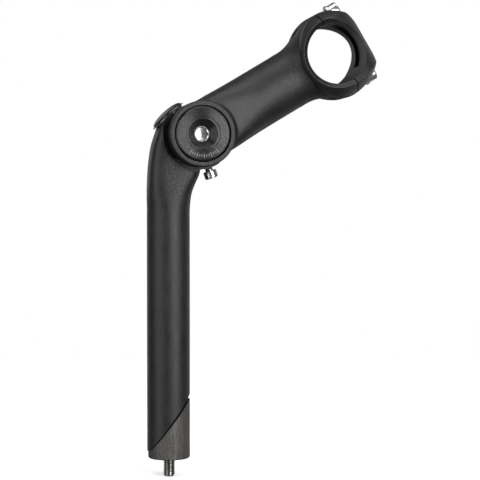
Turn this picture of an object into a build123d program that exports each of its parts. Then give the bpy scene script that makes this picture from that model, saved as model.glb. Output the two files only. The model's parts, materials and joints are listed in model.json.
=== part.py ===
from build123d import *
import math
import os

os.makedirs("parts", exist_ok=True)

# Adjustable quill stem for a bicycle handlebar.
# Frame: millimetres. +Z runs up the quill axis, +X points forwards to the handlebar and
# Y is sideways. The origin is on the quill axis at the minimum-insertion line.
# "Left" is the -Y side, where the pivot bolt's socket is.

# ---- driving dimensions ------------------------------------------------------------
QUILL_R = 11.1              # 22.2 mm quill
QUILL_BORE_R = 7.4
QUILL_BORE_TOP = 60.0
QUILL_PLAIN_TOP = 62.0      # the round tube ends here and the forged knee begins

PIVOT_X = 15.2              # the pivot stands ahead of the quill axis
PIVOT_Z = 102.5
ARM_TILT = 31.0             # degrees above level, as stored
ARM_LENGTH = 82.0           # pivot centre to handlebar centre

EXPANDER_X = 0.25           # the wedge and its bolt sit slightly off the quill axis
WEDGE_R = 10.85
WEDGE_BOTTOM = -64.5
WEDGE_SLOPE = 52.2          # degrees above level, rising forwards
QUILL_SLOPE = 53.4          # the quill's own cut is a little steeper, so the gap opens forwards
WEDGE_FACE_Z = -47.3        # height of the wedge's sloping face on the quill axis
WEDGE_GAP = 0.9             # play between the wedge and the quill, bolt slackened
WEDGE_BOLT_R = 3.0          # M6
WEDGE_BOLT_END = -74.2
WEDGE_BOLT_HOLE_R = 3.7
BOLT_SEAT_Z = 80.0          # shoulder that carries the long bolt's washer
ACCESS_R = 5.3              # bore above the shoulder, for the bolt's head and the key

TONGUE_HALF = 7.4           # half the thickness of the quill's tongue
TONGUE_R = 17.9             # lip of the tongue below the ears
TONGUE_NOSE_R = 16.5        # the rest of the tongue, between the ears
LIP_END = -54.0             # direction from the pivot in which the lip ends
TONGUE_BORE_R = 8.3
CHEEK_POCKET_R = 19.3       # round pocket in each cheek, where the arm's ears turn

EAR_INNER = 7.7             # distance of the ear's inner face from the middle plane
EAR_OUTER = 19.5
EAR_R = 16.8
SLOT_R = 20.5               # end of the slot between the ears, about the pivot
EAR_BLEND = 3.0             # fillet where an ear's disc meets the arm
EAR_EDGE = 0.8              # fillet of an ear's outer edge

SPLINE_TEETH = 36
SPLINE_TIP_R = 8.0
SPLINE_ROOT_R = 7.5
SLEEVE_END_R = 7.0
SLEEVE_HALF = 8.9
SLEEVE_BORE_R = 4.3

RING_INNER_R = 9.6
RING_OUTER_R = 14.8
RING_THICKNESS = 1.5
RING_TEETH = 36
RING_TOOTH_DEPTH = 0.5

CAP_R = 13.8
CAP_POCKET_R = 14.5
CAP_PROUD = 0.5             # how far a cap stands out of its ear
LEFT_CAP_SEAT = 12.0        # pocket floor in the left ear, from the middle plane
RIGHT_CAP_SEAT = 14.5
HEAD_SEAT = 10.2            # floor under the pivot bolt's washer and under its nut
PIVOT_WASHER = 1.0
PIVOT_BOLT_R = 4.0          # M8
PIVOT_HEAD_R = 6.5
PIVOT_HEAD = 4.0
PIVOT_NUT_FLATS = 13.0
PIVOT_NUT = 5.0
HEAD_POCKET_R = 8.6

CLAMP_R = 15.9              # 31.8 mm handlebar
CLAMP_HALF_WIDTH = 20.0
ARM_R = 15.2
PARTING = 0.8               # middle of the parting gap, ahead of the handlebar centre
PARTING_GAP = 0.6
FACE_BOLT_OFFSET = 19.0     # handlebar centre to a faceplate bolt
FACE_BOLT_R = 2.5           # M5
FACE_SEAT = 10.2            # washer seat, ahead of the handlebar centre
FACE_BOLT_LENGTH = 18.0
FACE_HEAD_R = 4.1
FACE_HEAD = 5.3
FACE_COUNTERBORE_R = 5.0
RELIEF_DEPTH = 1.4          # pocket inside the faceplate
RELIEF_HALF_WIDTH = 6.5
RELIEF_HALF_HEIGHT = 12.5
BORE_CHAMFER = 2.2
BARREL_R = 24.6             # the clamp is rounded off from this radius in the middle
BARREL_RIM_R = 18.3         # to this one at its side faces

LOCK_ANGLE = -71.0          # direction of the lock screw from the pivot
LOCK_SCREW_R = 2.0          # M4
LOCK_KEY_R = 2.6
LOCK_HEAD_FROM_PIVOT = 19.5

PLUG_ANGLE = 132.5          # direction of the plug's axis, seen from the left
PLUG_SEAT = 17.3            # seat plane, from the pivot
PLUG_LIP_R = 10.2
PLUG_SKIRT_R = 5.7
PLUG_SOCKET_DEPTH = 5.0

RUNNING_FIT = 0.05          # radial clearance of a thread or a pin in its hole
CENTRE_LOW = (Align.CENTER, Align.CENTER, Align.MIN)


# ---- placing -----------------------------------------------------------------------
def polar(radius, degrees):
    """X and Z offsets of a point at this radius and angle above +X."""
    return radius * math.cos(math.radians(degrees)), radius * math.sin(math.radians(degrees))


def along_axis(degrees, distance=0.0, start=(PIVOT_X, PIVOT_Z)):
    """Location on a line in the middle plane, with local +Z pointing along the line."""
    dx, dz = polar(1.0, degrees)
    origin = (start[0] + dx * distance, 0, start[1] + dz * distance)
    return Plane(origin=origin, x_dir=(0, 1, 0), z_dir=(dx, 0, dz)).location


PIVOT = Pos(PIVOT_X, 0, PIVOT_Z)
ARM = PIVOT * Rot(0, -ARM_TILT, 0)          # arm frame: +X along the arm, +Z its top
CLAMP = Pos(ARM_LENGTH, 0, 0)               # handlebar centre, in the arm frame


def sideways(side, distance=0.0):
    """Frame on the pivot's axis with +Z pointing outwards; side is -1 left, +1 right."""
    return Plane(origin=(0, side * distance, 0), x_dir=(1, 0, 0), z_dir=(0, side, 0)).location


# ---- shapes ------------------------------------------------------------------------
def disc(radius, low, high):
    """Cylinder along +Z between two heights."""
    return Pos(0, 0, low) * Cylinder(radius, high - low, align=CENTRE_LOW)


def ring(inner, outer, low, high):
    return disc(outer, low, high) - disc(inner, low - 1, high + 1)


def hex_bar(flats, low, high):
    section = RegularPolygon(flats / 2, 6, major_radius=False)
    return Pos(0, 0, low) * extrude(section, high - low)


def oval(place, half_x, half_y, squareness, points=28):
    """Closed smooth curve, a superellipse: squareness 2 is an ellipse."""
    corners = []
    for k in range(points):
        angle = 2 * math.pi * k / points
        c, s = math.cos(angle), math.sin(angle)
        x = half_x * math.copysign(abs(c) ** (2 / squareness), c)
        y = half_y * math.copysign(abs(s) ** (2 / squareness), s)
        corners.append((x, y))
    return place * make_face(Spline(*corners, periodic=True))


def ease(value, start, end):
    """Smooth step from 0 at start to 1 at end."""
    t = min(max((value - start) / (end - start), 0.0), 1.0)
    return (1 - math.cos(math.pi * t)) / 2


def between(value, knots):
    """Straight-line interpolation in (position, value) pairs."""
    for (a, va), (b, vb) in zip(knots, knots[1:]):
        if value <= b:
            t = max((value - a) / (b - a), 0.0)
            return va + (vb - va) * t
    return knots[-1][1]


def cap_screw(radius, length, head_r, head, key_flats, edge):
    """Socket screw with its head's underside at z=0: head above, shank below."""
    shank = disc(radius, -length, 0)
    shank = chamfer(shank.edges().sort_by(Axis.Z)[0], min(0.2 * radius, 0.7))
    body = disc(head_r, 0, head)
    body = chamfer(body.edges().group_by(Axis.Z)[-1], edge)
    return shank + body - hex_bar(key_flats, 0.45 * head, head + 1)


# ---- quill ---------------------------------------------------------------------------
KNEE_FRONT = [
    (62, 11.1), (66, 11.15), (70, 11.6), (74, 12.4), (78, 13.8),
    (82, 15.9), (86, 16.2), (98, 11), (122, 5),
]
KNEE_REAR = [(72, -11.1), (78, -10.85), (86, -10.3), (94, -9.3), (98, -8.4), (102, -7.1), (122, -0.6)]
KNEE_TOP = 122.0
KNEE_STEP = 6.0


def quill_blank():
    """Round tube and the forged knee, which turns square-sided as it leans to the pivot."""
    tube = disc(QUILL_R, WEDGE_BOTTOM, QUILL_PLAIN_TOP)
    sections = [Pos(0, 0, QUILL_PLAIN_TOP) * Circle(QUILL_R)]
    height = QUILL_PLAIN_TOP + KNEE_STEP
    while height <= KNEE_TOP:
        front = between(height, KNEE_FRONT)
        rear = between(height, KNEE_REAR)
        squareness = 2.0 + 1.6 * ease(height, QUILL_PLAIN_TOP, QUILL_PLAIN_TOP + 24)
        place = Pos((front + rear) / 2, 0, height)
        sections.append(oval(place, (front - rear) / 2, QUILL_R, squareness))
        height += KNEE_STEP
    return tube + loft(sections)


def slope_cutter():
    """Everything under the plane of the wedge's face."""
    place = Pos(0, 0, WEDGE_FACE_Z) * Rot(0, -WEDGE_SLOPE, 0)
    return place * Box(160, 60, 80, align=(Align.CENTER, Align.CENTER, Align.MAX))


def quill_end_cutter():
    """The quill's slanted end: the wedge's slope opened up about its rearmost point."""
    slope = math.tan(math.radians(WEDGE_SLOPE))
    rear = WEDGE_FACE_Z - QUILL_R * slope + WEDGE_GAP
    place = Pos(-QUILL_R, 0, rear) * Rot(0, -QUILL_SLOPE, 0)
    return place * Box(160, 60, 80, align=(Align.CENTER, Align.CENTER, Align.MAX))


def quill_shaft():
    low = WEDGE_BOTTOM
    body = quill_blank()
    body -= quill_end_cutter()
    for side in (-1, 1):
        body -= PIVOT * sideways(side) * disc(CHEEK_POCKET_R, TONGUE_HALF, 2 * QUILL_R)
    body += PIVOT * sideways(1) * disc(TONGUE_NOSE_R, -TONGUE_HALF, TONGUE_HALF)
    lip = PIVOT * sideways(1) * disc(TONGUE_R, -TONGUE_HALF, TONGUE_HALF)
    body += lip & along_axis(LIP_END) * Box(80, 80, 80, align=(Align.CENTER, Align.MAX, Align.CENTER))
    body -= along_axis(PLUG_ANGLE, PLUG_SEAT) * Box(80, 80, 40, align=CENTRE_LOW)
    body -= disc(QUILL_BORE_R, low - 1, QUILL_BORE_TOP)
    body -= disc(WEDGE_BOLT_HOLE_R, QUILL_BORE_TOP - 1, BOLT_SEAT_Z + 1)
    body -= disc(ACCESS_R, BOLT_SEAT_Z, KNEE_TOP)
    body -= plug_place() * disc(PLUG_SKIRT_R + RUNNING_FIT, -PLUG_SOCKET_DEPTH, 5)
    body -= PIVOT * sideways(1) * disc(TONGUE_BORE_R, -TONGUE_HALF - 1, TONGUE_HALF + 1)
    for side in (-1, 1):
        floor = TONGUE_HALF - RING_THICKNESS
        body -= PIVOT * sideways(side) * ring(RING_INNER_R, RING_OUTER_R, floor, TONGUE_HALF + 1)
    lock = along_axis(LOCK_ANGLE)
    body -= lock * disc(LOCK_KEY_R + RUNNING_FIT, 5, LOCK_THREAD_START)
    body -= lock * disc(LOCK_SCREW_R + RUNNING_FIT, 5, TONGUE_R + 6)
    return body


def plug_place():
    """Frame on the seat plane, on the access bore's axis, with +Z out along the plug."""
    nx, nz = polar(1.0, PLUG_ANGLE)
    level = nx * PIVOT_X + nz * PIVOT_Z + PLUG_SEAT
    return along_axis(PLUG_ANGLE, 0.0, (0.0, level / nz))


def expander_washer():
    return Pos(EXPANDER_X, 0, BOLT_SEAT_Z) * ring(WEDGE_BOLT_R + 0.2, 4.7, 0, 1.0)


def expander_bolt():
    seat = BOLT_SEAT_Z + 1.0 + RUNNING_FIT
    screw = cap_screw(WEDGE_BOLT_R, seat - WEDGE_BOLT_END, 4.9, 6.0, 5.0, 0.5)
    return Pos(EXPANDER_X, 0, seat) * screw


def expander_wedge():
    body = Pos(EXPANDER_X, 0, 0) * disc(WEDGE_R, WEDGE_BOTTOM, 0)
    body = body & slope_cutter()
    body = chamfer(body.edges().filter_by(GeomType.CIRCLE).sort_by(Axis.Z)[0], 0.5)
    blunt = WEDGE_FACE_Z + (QUILL_R - 0.9) * math.tan(math.radians(WEDGE_SLOPE))
    body -= Pos(0, 0, blunt) * Box(60, 60, 40, align=CENTRE_LOW)
    return body - Pos(EXPANDER_X, 0, 0) * disc(WEDGE_BOLT_R + RUNNING_FIT, WEDGE_BOTTOM - 1, 0)


def access_plug():
    """Soft push-in cap: a domed lip over the seat and a skirt in the socket."""
    lip = disc(PLUG_LIP_R, 0.05, 1.0)
    dome_height = 2.2
    dome_r = (PLUG_LIP_R**2 + dome_height**2) / (2 * dome_height)
    dome = Pos(0, 0, 1.0 + dome_height - dome_r) * Sphere(dome_r)
    dome = dome & disc(PLUG_LIP_R, 0.9, 8)
    skirt = ring(4.2, PLUG_SKIRT_R, -3.2, 0.1)
    trench = ring(5.6, 6.4, 0.7 + dome_height, 5)
    return plug_place() * (lip + dome + skirt - trench)


# ---- serrated rings and the splined sleeve -------------------------------------------
def toothed_ring():
    """Face-serrated ring on z=0, teeth upwards."""
    body = ring(RING_INNER_R, RING_OUTER_R, 0, RING_THICKNESS)
    pitch = 2 * math.pi * RING_OUTER_R / RING_TEETH
    groove = Polyline((0, 0), (pitch * 0.42, RING_TOOTH_DEPTH), (-pitch * 0.42, RING_TOOTH_DEPTH), close=True)
    cutter = extrude(Plane.YZ * make_face(groove), RING_OUTER_R + 2)
    cutter = Pos(0, 0, RING_THICKNESS - RING_TOOTH_DEPTH) * cutter
    grooves = [Rot(0, 0, 360 / RING_TEETH * k) * cutter for k in range(RING_TEETH)]
    return body - grooves


def tongue_ring(side):
    return PIVOT * sideways(side, TONGUE_HALF - RING_THICKNESS) * toothed_ring()


def ear_ring(side):
    outside = Pos(0, side * (EAR_INNER + RING_THICKNESS), 0)
    facing_in = Plane(origin=(0, 0, 0), x_dir=(1, 0, 0), z_dir=(0, -side, 0)).location
    return ARM * outside * facing_in * toothed_ring()


def splined_sleeve():
    """Sleeve inside the tongue that turns with the arm; the lock key bites its teeth."""
    corners = []
    for k in range(SPLINE_TEETH):
        for radius, step in ((SPLINE_ROOT_R, 0.0), (SPLINE_TIP_R, 0.4), (SPLINE_TIP_R, 0.6)):
            corners.append(polar(radius, 360 / SPLINE_TEETH * (k + step)))
    half = EAR_INNER - 0.1
    toothed = Pos(0, 0, -half) * extrude(make_face(Polyline(*corners, close=True)), 2 * half)
    ends = disc(SLEEVE_END_R, -SLEEVE_HALF, SLEEVE_HALF)
    body = toothed + ends - disc(SLEEVE_BORE_R, -SLEEVE_HALF - 1, SLEEVE_HALF + 1)
    return ARM * sideways(1) * body


# ---- arm -------------------------------------------------------------------------------
ROOT_START = 4.0
ROOT_STEP = 9.0
ROOT_HEIGHTS = [15.6, 15.5, 15.3, 15.2, 15.2]
ROOT_WIDTHS = [16.6, 16.5, 16.0, 15.4, 15.2]
ROOT_SQUARENESS = [4.5, 4.3, 3.2, 2.3, 2.0]
FLARE_BACK = -28.0          # first flare section, from the handlebar centre
FLARE_STEP = 4.0
FLARE_HEIGHTS = [15.2, 15.25, 15.6, 16.7, 18.5, 20.6, 22.0, 22.4]
FLARE_WIDTHS = [15.2, 15.4, 16.3, 17.6, 18.4, 18.5, 18.2, 17.6]
# the clamp's outline about the handlebar centre, in order: back, top, front, bottom
CREST = [
    (-19, 0), (-17, 9.5), (-11.5, 16.6), (-5, 21), (0, 22.4), (4.5, 22.2),
    (9, 20.6), (13.3, 17.7), (16.2, 14.6), (18.3, 10.5), (19.7, 6), (20.2, 0),
    (19.9, -6.2), (19, -11.5), (17.2, -15.6), (14.2, -18.9), (9.5, -21.2),
    (3, -23.1), (-4, -23.3), (-11, -19.2), (-17, -11),
]
FRONT_PLAN_R = 20.4         # seen from above, the clamp's front is a part circle


def arm_root():
    """The arm's square-shouldered end between the ears, which turns into the round tube."""
    sections = []
    for k, size in enumerate(zip(ROOT_WIDTHS, ROOT_HEIGHTS, ROOT_SQUARENESS)):
        sections.append(oval(forward(ROOT_START + ROOT_STEP * k), *size))
    return loft(sections)


def arm_flare():
    """The tube swells into the shoulders that hold the clamp bolts."""
    sections = []
    for k, (height, width) in enumerate(zip(FLARE_HEIGHTS, FLARE_WIDTHS)):
        squareness = 2.0 + 0.7 * ease(k, 0, 7)
        sections.append(oval(forward(ARM_LENGTH + FLARE_BACK + FLARE_STEP * k), width, height, squareness))
    return loft(sections)


def clamp_body():
    """Clamp about the handlebar's axis: the crest outline, rounded off towards both rims."""
    outline = make_face(Spline(*CREST, periodic=True))
    crest = extrude(Plane.XZ * outline, CLAMP_HALF_WIDTH, both=True)
    plan = disc(FRONT_PLAN_R, -2 * CLAMP_R, 2 * CLAMP_R)
    plan += Box(60, 60, 4 * CLAMP_R, align=(Align.MAX, Align.CENTER, Align.CENTER))
    half = CLAMP_HALF_WIDTH
    edges = [
        Line((0, -half), (BARREL_RIM_R, -half)),
        ThreePointArc((BARREL_RIM_R, -half), (BARREL_R, 0), (BARREL_RIM_R, half)),
        Line((BARREL_RIM_R, half), (0, half)),
        Line((0, half), (0, -half)),
    ]
    return CLAMP * (crest & plan & revolve(make_face(edges), Axis.Y))


def arm_blank():
    """Arm and clamp in one piece, before the clamp is bored and split."""
    root_end = ROOT_START + ROOT_STEP * (len(ROOT_WIDTHS) - 1)
    tube = extrude(oval(forward(root_end), ARM_R, ARM_R, 2), ARM_LENGTH + FLARE_BACK - root_end)
    return arm_root() + tube + arm_flare() + clamp_body()


def bore_cutter():
    """Handlebar bore with its two wide chamfers."""
    bore = disc(CLAMP_R, -30, 30)
    flare_start = CLAMP_HALF_WIDTH - BORE_CHAMFER
    for turn in (0, 180):
        flare = Cone(CLAMP_R, CLAMP_R + 3 * BORE_CHAMFER, 3 * BORE_CHAMFER, align=CENTRE_LOW)
        bore += Rot(turn, 0, 0) * Pos(0, 0, flare_start) * flare
    return CLAMP * Rot(90, 0, 0) * bore


def forward(x, z=0.0):
    """Frame in the arm frame with +Z pointing forwards along the arm."""
    return Plane(origin=(x, 0, z), x_dir=(0, 1, 0), z_dir=(1, 0, 0)).location


def on_ear_rim(edge):
    """True for an edge where an ear's disc runs into the front of the arm."""
    for t in (0, 0.5, 1):
        point = edge @ t
        if abs(math.hypot(point.X, point.Z) - EAR_R) > 0.06:
            return False
    middle = edge @ 0.5
    return middle.X > 0 and EAR_INNER < abs(middle.Y) < EAR_OUTER - 2 * EAR_EDGE


def arm_with_ears():
    body = arm_blank()
    for side in (-1, 1):
        ear = disc(EAR_R, EAR_INNER - 1, EAR_OUTER)
        ear = fillet(ear.edges().group_by(Axis.Z)[-1], EAR_EDGE)
        body += sideways(side) * ear
    return fillet(body.edges().filter_by(on_ear_rim), EAR_BLEND)


def stem_arm():
    body = arm_with_ears()
    body -= bore_cutter()
    parting = ARM_LENGTH + PARTING - PARTING_GAP / 2
    body -= Pos(parting, 0, 0) * Box(60, 90, 90, align=(Align.MIN, Align.CENTER, Align.CENTER))
    slot_end = sideways(1) * disc(SLOT_R, -EAR_INNER, EAR_INNER)
    body -= slot_end
    for side in (-1, 1):
        body = arm_ear_cuts(body, side)
    for side in (-1, 1):
        hole = disc(FACE_BOLT_R + RUNNING_FIT, -16, 5)
        body -= forward(ARM_LENGTH, side * FACE_BOLT_OFFSET) * hole
    return ARM * body


def arm_ear_cuts(body, side):
    """Pockets in one ear for its cap, the bolt's head or nut, the sleeve and the ring."""
    out = sideways(side)
    cap_seat = LEFT_CAP_SEAT if side < 0 else RIGHT_CAP_SEAT
    body -= out * disc(CAP_POCKET_R, cap_seat, EAR_OUTER + 5)
    if side < 0:
        body -= out * disc(HEAD_POCKET_R, HEAD_SEAT, cap_seat + 1)
    else:
        body -= out * hex_bar(PIVOT_NUT_FLATS + 0.3, HEAD_SEAT, cap_seat + 1)
    body -= out * disc(SLEEVE_END_R, 0, SLEEVE_HALF)
    body -= out * disc(PIVOT_BOLT_R + 0.4, 0, HEAD_SEAT + 1)
    body -= out * ring(RING_INNER_R, RING_OUTER_R, 0, EAR_INNER + RING_THICKNESS)
    return body


# ---- pivot hardware ----------------------------------------------------------------------
def left_cap():
    """Turned cap with a funnel that leads the key to the pivot bolt's socket."""
    face = EAR_OUTER + CAP_PROUD
    cavity = HEAD_SEAT + PIVOT_WASHER + PIVOT_HEAD + 0.2
    body = disc(CAP_R, LEFT_CAP_SEAT, face)
    body = chamfer(body.edges().group_by(Axis.Z)[-1], 0.6)
    body -= disc(HEAD_POCKET_R, LEFT_CAP_SEAT - 1, cavity)
    body -= disc(3.9, cavity - 1, face + 1)
    body -= ring(8.5, 8.9, face - 0.35, face + 1)
    funnel = Cone(3.9, 7.6, face - cavity - 0.5, align=CENTRE_LOW)
    body -= Pos(0, 0, cavity + 0.5) * funnel
    return ARM * sideways(-1) * body


def right_cap():
    face = EAR_OUTER + CAP_PROUD
    body = disc(CAP_R, RIGHT_CAP_SEAT, face)
    body = chamfer(body.edges().group_by(Axis.Z)[-1], 0.6)
    body -= disc(8.2, RIGHT_CAP_SEAT - 1, 17.8)
    body -= ring(8.5, 8.9, face - 0.35, face + 1)
    dish = Cone(6.4, 7.6, 0.9, align=CENTRE_LOW)
    body -= Pos(0, 0, face - 0.9) * dish
    return ARM * sideways(1) * body


def pivot_bolt_washer():
    return ARM * sideways(-1) * ring(PIVOT_BOLT_R + 0.3, 8.0, HEAD_SEAT, HEAD_SEAT + PIVOT_WASHER)


def pivot_nut_washer():
    return ARM * sideways(1) * ring(PIVOT_BOLT_R + 0.3, 6.4, HEAD_SEAT, HEAD_SEAT + PIVOT_WASHER)


def pivot_bolt():
    seat = HEAD_SEAT + PIVOT_WASHER + RUNNING_FIT
    length = seat + HEAD_SEAT + PIVOT_WASHER + PIVOT_NUT - 0.3
    screw = cap_screw(PIVOT_BOLT_R, length, PIVOT_HEAD_R, PIVOT_HEAD, 6.0, 0.4)
    return ARM * sideways(-1, seat) * screw


def pivot_nut():
    low = HEAD_SEAT + PIVOT_WASHER + RUNNING_FIT
    body = hex_bar(PIVOT_NUT_FLATS, low, low + PIVOT_NUT)
    body -= disc(PIVOT_BOLT_R + RUNNING_FIT, low - 1, low + PIVOT_NUT + 1)
    return ARM * sideways(1) * body


# ---- lock screw and key ----------------------------------------------------------------
LOCK_KEY_TIP = SPLINE_TIP_R + 0.35
LOCK_KEY_END = 12.0
LOCK_THREAD_START = 14.4


def lock_key():
    body = disc(LOCK_KEY_R, LOCK_KEY_TIP, LOCK_KEY_END)
    groove = Polyline((0, 0.7), (0.55, 0), (-0.55, 0), close=True)
    cutter = extrude(Plane.YZ * make_face(groove), 2 * LOCK_KEY_R, both=True)
    for step in (-1, 0, 1):
        offset = step * 1.35
        body -= Pos(0, offset, LOCK_KEY_TIP) * cutter
    return along_axis(LOCK_ANGLE) * body


def lock_screw():
    length = LOCK_HEAD_FROM_PIVOT - LOCK_KEY_END
    screw = cap_screw(LOCK_SCREW_R, length - 0.02, 3.5, 4.0, 3.0, 0.35)
    return along_axis(LOCK_ANGLE, LOCK_HEAD_FROM_PIVOT) * screw


# ---- faceplate ---------------------------------------------------------------------------
def faceplate():
    body = arm_blank()
    body -= bore_cutter()
    parting = ARM_LENGTH + PARTING + PARTING_GAP / 2
    body -= Pos(parting, 0, 0) * Box(200, 90, 90, align=(Align.MAX, Align.CENTER, Align.CENTER))
    body -= faceplate_relief()
    for side in (-1, 1):
        bolt_line = forward(ARM_LENGTH, side * FACE_BOLT_OFFSET)
        body -= bolt_line * disc(FACE_BOLT_R + 0.3, -5, 30)
        body -= bolt_line * disc(FACE_COUNTERBORE_R, FACE_SEAT, 30)
    return ARM * body


def faceplate_relief():
    """Shallow pocket in the faceplate's bore."""
    low_front = (Align.MIN, Align.CENTER, Align.CENTER)
    window = Box(30, 2 * RELIEF_HALF_WIDTH, 2 * RELIEF_HALF_HEIGHT, align=low_front)
    return CLAMP * (window & Rot(90, 0, 0) * disc(CLAMP_R + RELIEF_DEPTH, -CLAMP_R, CLAMP_R))


def faceplate_washer(side):
    place = forward(ARM_LENGTH + FACE_SEAT, side * FACE_BOLT_OFFSET)
    return ARM * place * ring(FACE_BOLT_R + 0.2, 4.6, 0, 1.0)


def faceplate_bolt(side):
    place = forward(ARM_LENGTH + FACE_SEAT + 1.0 + RUNNING_FIT, side * FACE_BOLT_OFFSET)
    return ARM * place * cap_screw(FACE_BOLT_R, FACE_BOLT_LENGTH, FACE_HEAD_R, FACE_HEAD, 4.0, 0.45)


# ---- nodes -------------------------------------------------------------------------------
NODES = {
    "quill_shaft": quill_shaft(),
    "tongue_ring_left": tongue_ring(-1),
    "tongue_ring_right": tongue_ring(1),
    "expander_washer": expander_washer(),
    "expander_bolt": expander_bolt(),
    "expander_wedge": expander_wedge(),
    "access_plug": access_plug(),
    "stem_arm": stem_arm(),
    "ear_ring_left": ear_ring(-1),
    "ear_ring_right": ear_ring(1),
    "splined_sleeve": splined_sleeve(),
    "pivot_cap_left": left_cap(),
    "pivot_cap_right": right_cap(),
    "pivot_bolt": pivot_bolt(),
    "pivot_bolt_washer": pivot_bolt_washer(),
    "pivot_nut": pivot_nut(),
    "pivot_nut_washer": pivot_nut_washer(),
    "lock_key": lock_key(),
    "lock_screw": lock_screw(),
    "faceplate": faceplate(),
    "faceplate_washer_upper": faceplate_washer(1),
    "faceplate_washer_lower": faceplate_washer(-1),
    "faceplate_bolt_upper": faceplate_bolt(1),
    "faceplate_bolt_lower": faceplate_bolt(-1),
}

for name, shape in NODES.items():
    export_step(shape, f"parts/{name}.step")
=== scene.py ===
import json
import math

import bmesh
import bpy
from mathutils import Matrix, Vector


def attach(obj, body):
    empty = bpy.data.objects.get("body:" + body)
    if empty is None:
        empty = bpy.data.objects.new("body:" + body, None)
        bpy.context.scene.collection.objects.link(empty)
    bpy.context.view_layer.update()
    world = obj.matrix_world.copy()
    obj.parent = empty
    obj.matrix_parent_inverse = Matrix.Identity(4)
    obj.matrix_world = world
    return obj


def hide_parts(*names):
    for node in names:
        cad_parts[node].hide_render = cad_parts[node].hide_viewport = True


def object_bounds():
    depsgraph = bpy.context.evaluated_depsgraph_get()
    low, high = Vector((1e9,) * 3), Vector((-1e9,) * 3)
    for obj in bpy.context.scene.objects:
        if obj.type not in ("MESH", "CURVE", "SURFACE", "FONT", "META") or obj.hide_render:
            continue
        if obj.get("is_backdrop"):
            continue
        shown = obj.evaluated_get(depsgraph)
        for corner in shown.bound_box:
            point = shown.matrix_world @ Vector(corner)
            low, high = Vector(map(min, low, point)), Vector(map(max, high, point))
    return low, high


# Adjustable quill stem: materials, detailed screws and the rubber plug, floor, light and camera.
# Metres throughout, in the CAD frame: +Z up the quill, +X forwards, -Y the side with the
# pivot's key socket.

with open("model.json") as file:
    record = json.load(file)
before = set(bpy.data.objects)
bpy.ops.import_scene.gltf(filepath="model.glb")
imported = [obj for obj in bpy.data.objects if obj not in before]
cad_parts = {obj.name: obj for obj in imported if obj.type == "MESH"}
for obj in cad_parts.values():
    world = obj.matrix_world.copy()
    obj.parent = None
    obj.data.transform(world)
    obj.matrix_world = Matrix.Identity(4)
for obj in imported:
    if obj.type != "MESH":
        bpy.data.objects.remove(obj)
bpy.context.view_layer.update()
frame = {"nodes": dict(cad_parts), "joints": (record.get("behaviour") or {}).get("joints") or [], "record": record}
JOINTS = {joint["name"]: joint for joint in frame["joints"]}
MM = 0.001

# screws: thread
THREAD_STEPS = 10            # rings in one pitch
THREAD_DEPTH = 0.55          # of the pitch
GROOVE_SLOPE = 1.6           # of the flanks; less CREST_SHARE it is over 1, so the floor is flat
CREST_SHARE = 0.3            # more makes the crest between two grooves wider
TIP_TAPER = 0.8              # of the pitch, taken off the radius at the tip
# screws: head
HEAD_EDGE = 0.25 * MM        # fillet under the head and bevel round its lower edge
BEVEL_TOP = 0.2 * MM         # these two are heights above the seat
KNURL_BOTTOM = 0.35 * MM
KNURL_TOP = 0.75 * MM        # these four are depths below the head's end
KNURL_END = 0.6 * MM
CROWN_START = 0.3 * MM
SOCKET_LEAD = 0.35 * MM
KNURL_DEPTH = 0.1 * MM
CROWN_BEVEL = 0.12 * MM
END_RIM = 0.55 * MM          # from the flat end to the head's edge, and to the socket's flats
SOCKET_DEPTH = 0.55          # shares of the head's height
DRILL_DEPTH = 0.7
SOCKET_FLOOR_R = 0.46        # shares of the socket's flats
DRILL_R = 0.2
# access plug
PLUG_LIP_R = 10.3 * MM
PLUG_SKIRT = 3.2 * MM        # height of the ribbed skirt
PLUG_SKIRT_R = 5.5 * MM
PLUG_GROOVE_R = 5.4 * MM
PLUG_RIB_R = 5.7 * MM
PLUG_RIBS = 3
DOME_START = 0.5 * MM        # above the skirt
DOME_INSET = 0.9 * MM        # inside the lip's edge
DOME_STEPS = 14
DOME_FULLNESS = 0.9          # under 1 makes the dome fuller near its edge
# marks on the pivot cap
MARKS = 13
MARKS_START = -125.0         # degrees, and the arc they cover
MARKS_SWEEP = 75.0
MARKS_R_MM = 11.2
LONG_MARK = 2.4 * MM         # every third one
SHORT_MARK = 1.3 * MM
MARK_WIDTH_MM = 0.32
MARK_HEIGHT_MM = 0.06
# floor, light, camera
FLOOR_R = 0.6
FLOOR_X = 0.04
LIGHT_AIM = Vector((0.03, 0.0, 0.05))
LIGHT_DISTANCE = 0.9
WORLD_LIGHT = 0.12           # strength of the white world as a light
CAMERA_AIM = Vector((0.0377, 0.0, 0.0481))
CAMERA_DISTANCE = 0.77225
CAMERA_AZIMUTH = -10.5       # degrees, as towards() takes them
CAMERA_ELEVATION = 1.5
SENSOR_MM = 36.0
LENS_MM = 111.0


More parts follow.
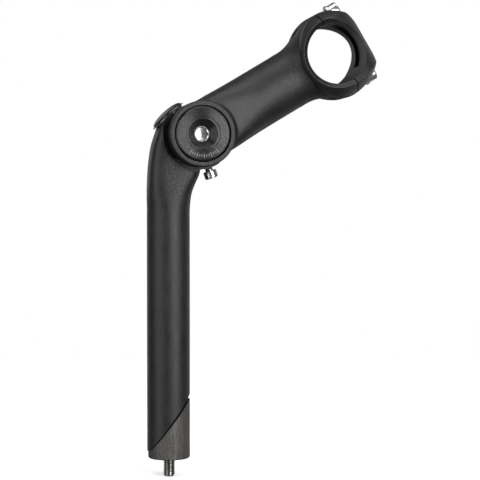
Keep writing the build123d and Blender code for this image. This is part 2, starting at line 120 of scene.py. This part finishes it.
# ---- node helpers ----------------------------------------------------------------------
class Finish:
    """A Principled material and short calls that build its node tree."""

    def __init__(self, name, colour, roughness, metallic=0.0, specular=0.5):
        self.material = bpy.data.materials.new(name)
        self.material.use_nodes = True
        self.tree = self.material.node_tree
        self.shader = self.tree.nodes["Principled BSDF"]
        self.set("Base Color", (*colour, 1.0))
        self.set("Roughness", roughness)
        self.set("Metallic", metallic)
        self.set("Specular IOR Level", specular)
        self.place = self.node("ShaderNodeTexCoord").outputs["Object"]

    def node(self, kind, **settings):
        made = self.tree.nodes.new(kind)
        for key, value in settings.items():
            setattr(made, key, value)
        return made

    def set(self, socket, value):
        self.shader.inputs[socket].default_value = value

    def link(self, source, target):
        self.tree.links.new(source, target)
        return target

    def feed(self, socket, source):
        self.link(source, self.shader.inputs[socket])

    def noise(self, grain, detail=3.0, stretch=(1.0, 1.0, 1.0), rough=0.5):
        """Noise with features about `grain` metres across, drawn out along an axis by stretch."""
        mapping = self.node("ShaderNodeMapping")
        mapping.inputs["Scale"].default_value = tuple(1.0 / s for s in stretch)
        self.link(self.place, mapping.inputs["Vector"])
        noise = self.node("ShaderNodeTexNoise")
        noise.inputs["Scale"].default_value = 1.0 / grain
        noise.inputs["Detail"].default_value = detail
        noise.inputs["Roughness"].default_value = rough
        self.link(mapping.outputs["Vector"], noise.inputs["Vector"])
        return noise.outputs["Fac"]

    def spread(self, source, low, high, start=0.3, end=0.7):
        """Maps start..end of a texture to low..high."""
        node = self.node("ShaderNodeMapRange")
        self.link(source, node.inputs["Value"])
        for key, value in (("From Min", start), ("From Max", end), ("To Min", low), ("To Max", high)):
            node.inputs[key].default_value = value
        return node.outputs["Result"]

    def blend(self, source, dark, light, start=0.3, end=0.7):
        """Colour between dark and light as the texture goes from start to end."""
        ramp = self.node("ShaderNodeValToRGB")
        ramp.color_ramp.elements[0].position = start
        ramp.color_ramp.elements[0].color = (*dark, 1.0)
        ramp.color_ramp.elements[1].position = end
        ramp.color_ramp.elements[1].color = (*light, 1.0)
        self.link(source, ramp.inputs["Fac"])
        return ramp.outputs["Color"]

    def math(self, operation, first, second=None):
        node = self.node("ShaderNodeMath", operation=operation)
        for socket, value in zip(node.inputs, (first, second)):
            if value is None:
                continue
            if isinstance(value, (int, float)):
                socket.default_value = value
            else:
                self.link(value, socket)
        return node.outputs["Value"]

    def bump(self, source, depth, strength=1.0, below=None):
        """Relief of `depth` metres, on top of another bump if one is given."""
        node = self.node("ShaderNodeBump")
        node.inputs["Distance"].default_value = depth
        node.inputs["Strength"].default_value = strength
        self.link(source, node.inputs["Height"])
        if below is not None:
            self.link(below, node.inputs["Normal"])
        return node.outputs["Normal"]

    def radius_from(self, centre, axis):
        """Distance of a point from the line through centre along axis."""
        offset = self.node("ShaderNodeVectorMath", operation="SUBTRACT")
        self.link(self.place, offset.inputs[0])
        offset.inputs[1].default_value = centre
        cross = self.node("ShaderNodeVectorMath", operation="CROSS_PRODUCT")
        self.link(offset.outputs["Vector"], cross.inputs[0])
        cross.inputs[1].default_value = axis
        length = self.node("ShaderNodeVectorMath", operation="LENGTH")
        self.link(cross.outputs["Vector"], length.inputs[0])
        return length.outputs["Value"]


# ---- materials ---------------------------------------------------------------------------
def anodised_black():
    """Bead-blasted and black anodised alloy: sparkling fine grain, faint cloudiness."""
    finish = Finish("anodised_black", (0.016, 0.016, 0.018), 0.42, metallic=0.15, specular=0.45)
    grain = finish.noise(0.9 * MM, detail=4.0, rough=0.75)
    cloud = finish.noise(9 * MM, detail=3.0)
    both = finish.math("ADD", finish.math("MULTIPLY", grain, 0.6), finish.math("MULTIPLY", cloud, 0.4))
    finish.feed("Base Color", finish.blend(both, (0.008, 0.008, 0.0078), (0.026, 0.0255, 0.025)))
    finish.feed("Roughness", finish.spread(both, 0.27, 0.52))
    finish.feed("Normal", finish.bump(grain, 0.22 * MM, 0.9))
    return finish.material


def turned_black(centre, axis):
    """Black anodised over a lathe-turned face: rings about the pivot's axis."""
    finish = Finish("turned_black", (0.03, 0.03, 0.031), 0.3, metallic=0.8, specular=0.6)
    radius = finish.radius_from(centre, axis)
    rings = finish.math("SINE", finish.math("MULTIPLY", radius, 2 * math.pi / (0.28 * MM)))
    grain = finish.noise(0.3 * MM, detail=3.0)
    finish.feed("Base Color", finish.blend(grain, (0.030, 0.030, 0.030), (0.060, 0.059, 0.058)))
    finish.feed("Roughness", finish.spread(grain, 0.24, 0.34))
    finish.feed("Normal", finish.bump(rings, 0.010 * MM, 0.6))
    finish.set("Anisotropic", 0.85)
    finish.set("Anisotropic Rotation", 0.25)
    tangent = finish.node("ShaderNodeTangent", direction_type="RADIAL", axis="Y")
    finish.feed("Tangent", tangent.outputs["Tangent"])
    return finish.material


def plug_rubber():
    """Glossy moulded rubber."""
    finish = Finish("plug_rubber", (0.01, 0.01, 0.01), 0.16, specular=0.7)
    smear = finish.noise(3 * MM, detail=4.0)
    finish.feed("Base Color", finish.blend(smear, (0.007, 0.007, 0.007), (0.015, 0.015, 0.015)))
    finish.feed("Roughness", finish.spread(smear, 0.08, 0.18))
    finish.feed("Normal", finish.bump(finish.noise(0.8 * MM), 0.03 * MM, 0.3))
    return finish.material


def print_grey():
    """Thin light grey pad print, slightly worn."""
    finish = Finish("print_grey", (0.3, 0.3, 0.3), 0.55)
    wear = finish.noise(0.5 * MM, detail=4.0)
    finish.feed("Base Color", finish.blend(wear, (0.16, 0.16, 0.16), (0.38, 0.38, 0.38)))
    finish.feed("Roughness", finish.spread(wear, 0.45, 0.65))
    return finish.material


def raw_wedge():
    """Unfinished cast alloy, dull grey, pitted and rubbed up and down."""
    finish = Finish("raw_wedge", (0.05, 0.048, 0.045), 0.6, metallic=0.55)
    pits = finish.noise(0.8 * MM, detail=6.0, rough=0.7)
    rub = finish.noise(0.7 * MM, detail=3.0, stretch=(1.0, 1.0, 14.0))
    both = finish.math("ADD", finish.math("MULTIPLY", pits, 0.6), finish.math("MULTIPLY", rub, 0.4))
    finish.feed("Base Color", finish.blend(both, (0.055, 0.053, 0.050), (0.18, 0.172, 0.162), 0.35, 0.7))
    finish.feed("Roughness", finish.spread(both, 0.72, 0.48))
    low = finish.bump(pits, 0.16 * MM, 0.7)
    finish.feed("Normal", finish.bump(rub, 0.05 * MM, 0.4, below=low))
    return finish.material


def metal(name, dark, light, rough_low, rough_high, grain=0.5 * MM, depth=0.01 * MM):
    """Bare or plated steel with a fine uneven surface."""
    finish = Finish(name, light, rough_high, metallic=1.0)
    texture = finish.noise(grain, detail=4.0, rough=0.6)
    cloud = finish.noise(6 * grain, detail=2.0)
    finish.feed("Base Color", finish.blend(cloud, dark, light))
    finish.feed("Roughness", finish.spread(texture, rough_low, rough_high))
    finish.feed("Normal", finish.bump(texture, depth, 0.5))
    return finish.material


pivot = Vector(JOINTS["arm_tilt"]["pos_m"])
pivot_axis = Vector(JOINTS["arm_tilt"]["axis"])
FINISHES = {
    "anodised_black": anodised_black(),
    "turned_black": turned_black(pivot, pivot_axis),
    "plug_rubber": plug_rubber(),
    "raw_wedge": raw_wedge(),
    "dark_steel": metal("dark_steel", (0.24, 0.235, 0.225), (0.40, 0.39, 0.38), 0.24, 0.36),
    "zinc_steel": metal(
        "zinc_steel", (0.56, 0.57, 0.59), (0.74, 0.75, 0.76), 0.20, 0.30,
        grain=1.5 * MM, depth=0.004 * MM,
    ),
    "hard_steel": metal("hard_steel", (0.16, 0.16, 0.165), (0.30, 0.30, 0.31), 0.3, 0.45),
    "print_grey": print_grey(),
}


def slot_names():
    """Material slot of every CAD node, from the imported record."""
    return {part["node"]: part["material_slot"] for part in frame["record"]["subparts"]}


def dress_cad_nodes():
    """Gives every CAD node the finish of its material slot."""
    slots = slot_names()
    for name, node in frame["nodes"].items():
        node.data.materials.clear()
        node.data.materials.append(FINISHES[slots[name]])


# ---- detailed pieces -----------------------------------------------------------------
def span(name, axis):
    """Point on a round CAD node's centre line at its lowest level along axis, and its length."""
    node = frame["nodes"][name]
    corners = [node.matrix_world @ v.co for v in node.data.vertices]
    side = axis.orthogonal().normalized()
    point = Vector((0.0, 0.0, 0.0))
    for direction in (side, axis.cross(side)):
        levels = [corner.dot(direction) for corner in corners]
        point += direction * (max(levels) + min(levels)) / 2
    levels = [corner.dot(axis) for corner in corners]
    return point + axis * min(levels), max(levels) - min(levels)


def lathe(name, rings, segments=72):
    """Solid about +Z from (height, radius) rings; a radius may be a function of the angle."""
    shape = bmesh.new()
    rows = []
    for height, radius in rings:
        row = []
        for k in range(segments):
            angle = 2 * math.pi * k / segments
            r = radius(angle) if callable(radius) else radius
            row.append(shape.verts.new((r * math.cos(angle), r * math.sin(angle), height)))
        rows.append(row)
    for low, high in zip(rows, rows[1:]):
        for k in range(segments):
            n = (k + 1) % segments
            shape.faces.new((low[k], low[n], high[n], high[k]))
    shape.faces.new(list(reversed(rows[0])))
    shape.faces.new(rows[-1])
    return finished_mesh(name, shape)


def finished_mesh(name, shape, crease=math.radians(32)):
    """Smooth-shaded mesh with its corners kept sharp."""
    bmesh.ops.recalc_face_normals(shape, faces=shape.faces)
    for face in shape.faces:
        face.smooth = True
    for edge in shape.edges:
        if len(edge.link_faces) == 2:
            edge.smooth = edge.calc_face_angle() < crease
    mesh = bpy.data.meshes.new(name)
    shape.to_mesh(mesh)
    shape.free()
    return mesh


def place(name, mesh, point, axis, body, slot_name, *nodes):
    """Puts a mesh with its +Z along axis, on a body, in place of CAD nodes."""
    made = bpy.data.objects.new(name, mesh)
    bpy.context.scene.collection.objects.link(made)
    made.matrix_world = Matrix.Translation(point) @ axis.to_track_quat("Z", "Y").to_matrix().to_4x4()
    mesh.materials.append(FINISHES[slot_name])
    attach(made, body)
    if nodes:
        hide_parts(*nodes)


def hexagon(flats):
    """Radius of a hexagon across these flats as a function of the angle."""
    sixth = math.pi / 3
    return lambda angle: flats / 2 / math.cos(angle % sixth - sixth / 2)


def knurl(radius, depth, count):
    """Radius of a knurled rim as a function of the angle."""
    return lambda angle: radius - depth * (0.5 - 0.5 * math.cos(count * angle))


def thread(radius, depth, pitch, height):
    """Radius of a screw thread at one height: a flat-bottomed V groove that climbs by the pitch."""
    def at(angle):
        phase = (height / pitch - angle / (2 * math.pi)) % 1.0
        groove = GROOVE_SLOPE * (1 - abs(2 * phase - 1)) - CREST_SHARE
        return radius - depth * min(1.0, max(0.0, groove))
    return at


def lesser(function, limit):
    """The function of the angle, cut off at a limit."""
    return lambda angle: min(function(angle), limit)


def thread_rings(low, high, radius, pitch):
    """Rings of a threaded length, which tapers into the tip and into the plain shank."""
    rows = []
    step = pitch / THREAD_STEPS
    for k in range(int((high - low) / step) + 1):
        height = low + step * k
        depth = THREAD_DEPTH * pitch * min(1.0, (high - height) / pitch)
        tip = max(0.0, pitch - (height - low)) * TIP_TAPER
        rows.append((height, lesser(thread(radius, depth, pitch, height), radius - tip)))
    return rows


def screw(name, joint, slot_name, radius, pitch, threaded, head, head_radius, flats, ribs):
    """Socket screw with a knurled head, a chamfered hexagon socket and a real thread."""
    info = JOINTS[joint]
    axis = Vector(info["axis"]).normalized()
    point, length = span(name, axis)
    seat = length - head
    rim = knurl(head_radius, KNURL_DEPTH, ribs)
    socket_floor = length - SOCKET_DEPTH * head
    rings = thread_rings(0.0, threaded, radius, pitch)
    rings += [
        (seat - HEAD_EDGE, radius), (seat, radius + HEAD_EDGE),
        (seat, head_radius - HEAD_EDGE), (seat + BEVEL_TOP, head_radius),
        (seat + KNURL_BOTTOM, rim), (length - KNURL_TOP, rim),
        (length - KNURL_END, head_radius), (length - CROWN_START, head_radius - CROWN_BEVEL),
        (length, head_radius - END_RIM), (length, flats * 0.5 + END_RIM),
        (length - SOCKET_LEAD, hexagon(flats)), (socket_floor, hexagon(flats)),
        (socket_floor, flats * SOCKET_FLOOR_R), (length - DRILL_DEPTH * head, DRILL_R * flats),
    ]
    mesh = lathe(name + "_detail", rings)
    place(name + "_detail", mesh, point, axis, info["child"], slot_name, name)


def rubber_plug():
    """Soft plug: thin pointed lip, low dome and a ribbed skirt."""
    info = JOINTS["plug_pull"]
    axis = Vector(info["axis"]).normalized()
    point, length = span("access_plug", axis)
    dome = length - PLUG_SKIRT - DOME_START
    rings = [(0.2 * MM, 4.4 * MM), (0.0, 4.7 * MM), (0.3 * MM, PLUG_SKIRT_R)]
    for k in range(PLUG_RIBS):
        rib = (0.6 + 0.8 * k) * MM
        rings += [
            (rib, PLUG_GROOVE_R), (rib + 0.25 * MM, PLUG_RIB_R), (rib + 0.5 * MM, PLUG_GROOVE_R),
        ]
    rings += [
        (PLUG_SKIRT, PLUG_SKIRT_R), (PLUG_SKIRT + 0.02 * MM, PLUG_LIP_R - 0.5 * MM),
        (PLUG_SKIRT + 0.1 * MM, PLUG_LIP_R), (PLUG_SKIRT + 0.25 * MM, PLUG_LIP_R),
        (PLUG_SKIRT + 0.55 * MM, PLUG_LIP_R - 0.7 * MM),
    ]
    for k in range(DOME_STEPS):
        turn = math.pi / 2 * k / DOME_STEPS
        height = PLUG_SKIRT + DOME_START + dome * math.sin(turn) ** DOME_FULLNESS
        rings.append((height, (PLUG_LIP_R - DOME_INSET) * math.cos(turn)))
    rings.append((length, 0.05 * MM))
    mesh = lathe("access_plug_detail", rings)
    place("access_plug_detail", mesh, point, axis, info["child"], "plug_rubber", "access_plug")


def torque_scale():
    """Printed arc of plain marks on the lower half of the socket-side cap, with no lettering."""
    axis = Vector(JOINTS["pivot_bolt_turn"]["axis"]).normalized()
    point, length = span("pivot_cap_left", axis)
    face = point + axis * length
    shape = bmesh.new()
    for k in range(MARKS):
        turn = math.radians(MARKS_START + MARKS_SWEEP * k / (MARKS - 1))
        tall = LONG_MARK if k % 3 == 0 else SHORT_MARK
        along = Vector((math.cos(turn), 0.0, math.sin(turn)))
        across = axis.cross(along)
        middle = face + along * MARKS_R_MM * MM
        width = across * MARK_WIDTH_MM * MM
        add_block(shape, middle, along * tall, width, axis * MARK_HEIGHT_MM * MM)
    mesh = finished_mesh("cap_marks", shape)
    made = bpy.data.objects.new("cap_marks", mesh)
    bpy.context.scene.collection.objects.link(made)
    mesh.materials.append(FINISHES["print_grey"])
    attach(made, JOINTS["arm_tilt"]["child"])


def add_block(shape, middle, along, across, up):
    """Adds a box to a bmesh from its centre and its three edge vectors."""
    box = bmesh.ops.create_cube(shape, size=1.0)["verts"]
    for corner in box:
        corner.co = middle + along * corner.co.x + across * corner.co.y + up * corner.co.z


dress_cad_nodes()
screw(
    "expander_bolt", "expander_bolt_turn", "dark_steel", radius=3 * MM, pitch=1.0 * MM,
    threaded=34 * MM, head=6 * MM, head_radius=4.9 * MM, flats=5 * MM, ribs=36,
)
screw(
    "lock_screw", "lock_screw_turn", "zinc_steel", radius=2 * MM, pitch=0.7 * MM,
    threaded=6.5 * MM, head=4 * MM, head_radius=3.5 * MM, flats=3 * MM, ribs=18,
)
for which in ("upper", "lower"):
    screw(
        "faceplate_bolt_" + which, which + "_bolt_turn", "zinc_steel",
        radius=2.5 * MM, pitch=0.8 * MM, threaded=15 * MM,
        head=5.3 * MM, head_radius=4.1 * MM, flats=4 * MM, ribs=24,
    )
screw(
    "pivot_bolt", "pivot_bolt_turn", "zinc_steel", radius=4 * MM, pitch=1.25 * MM,
    threaded=14 * MM, head=4 * MM, head_radius=6.5 * MM, flats=6 * MM, ribs=36,
)
rubber_plug()
torque_scale()


# ---- floor, light, camera ------------------------------------------------------------------
def floor():
    """White table top, bright enough to melt into the white surroundings."""
    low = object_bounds()[0][2]
    finish = Finish("floor_white", (0.9, 0.9, 0.9), 0.8)
    cloud = finish.noise(0.4)
    finish.feed("Base Color", finish.blend(cloud, (0.89, 0.89, 0.89), (0.92, 0.92, 0.92)))
    finish.set("Emission Color", (1.0, 1.0, 1.0, 1.0))
    finish.set("Emission Strength", 0.55)
    mesh = bpy.data.meshes.new("floor")
    shape = bmesh.new()
    bmesh.ops.create_circle(shape, cap_ends=True, segments=96, radius=FLOOR_R)
    bmesh.ops.translate(shape, verts=shape.verts, vec=(FLOOR_X, 0.0, low))
    shape.to_mesh(mesh)
    shape.free()
    mesh.materials.append(finish.material)
    made = bpy.data.objects.new("floor", mesh)
    bpy.context.scene.collection.objects.link(made)
    made.visible_diffuse = False
    made.visible_glossy = False
    made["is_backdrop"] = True


def towards(azimuth, elevation):
    """Unit vector from the object to where something stands; azimuth 0 is the -Y side, 90 is +X."""
    a, e = math.radians(azimuth), math.radians(elevation)
    return Vector((math.sin(a) * math.cos(e), -math.cos(a) * math.cos(e), math.sin(e)))


def softbox(name, azimuth, elevation, width, height, radiance):
    """Rectangular light that faces the middle of the object, unseen by the camera."""
    data = bpy.data.lights.new(name, "AREA")
    data.shape = "RECTANGLE"
    data.size = width
    data.size_y = height
    data.energy = radiance * math.pi * width * height
    made = bpy.data.objects.new(name, data)
    bpy.context.scene.collection.objects.link(made)
    direction = towards(azimuth, elevation)
    made.location = LIGHT_AIM + direction * LIGHT_DISTANCE
    made.rotation_euler = direction.to_track_quat("Z", "Y").to_euler()
    made.visible_camera = False


def white_world():
    """White where it is looked at, dimmer as a light, so that black parts stay black."""
    world = bpy.data.worlds.new("studio_white")
    world.use_nodes = True
    tree = world.node_tree
    background = tree.nodes["Background"]
    background.inputs["Color"].default_value = (1.0, 1.0, 1.0, 1.0)
    seen = tree.nodes.new("ShaderNodeLightPath").outputs["Is Camera Ray"]
    level = tree.nodes.new("ShaderNodeMapRange")
    tree.links.new(seen, level.inputs["Value"])
    level.inputs["To Min"].default_value = WORLD_LIGHT
    level.inputs["To Max"].default_value = 1.0
    tree.links.new(level.outputs["Result"], background.inputs["Strength"])
    return world


def studio():
    """White world and five softboxes, which draw the bright streaks on the black parts."""
    scene = bpy.context.scene
    scene.world = white_world()
    scene.view_settings.view_transform = "Standard"
    softbox("front_left", -62, 5, 0.42, 1.2, 3.0)
    softbox("front_right", 25, 5, 0.16, 1.2, 20.0)
    softbox("back_right", 135, 5, 0.50, 1.2, 0.55)
    softbox("back_left", -155, 5, 0.50, 1.2, 0.45)
    softbox("top", 0, 80, 1.0, 0.6, 2.4)


def camera():
    """The photo's camera, as fitted to it."""
    direction = towards(CAMERA_AZIMUTH, CAMERA_ELEVATION)
    data = bpy.data.cameras.new("camera")
    data.sensor_width = SENSOR_MM
    data.lens = LENS_MM
    made = bpy.data.objects.new("camera", data)
    bpy.context.scene.collection.objects.link(made)
    made.location = CAMERA_AIM + direction * CAMERA_DISTANCE
    made.rotation_euler = direction.to_track_quat("Z", "Y").to_euler()
    bpy.context.scene.camera = made


floor()
studio()
camera()
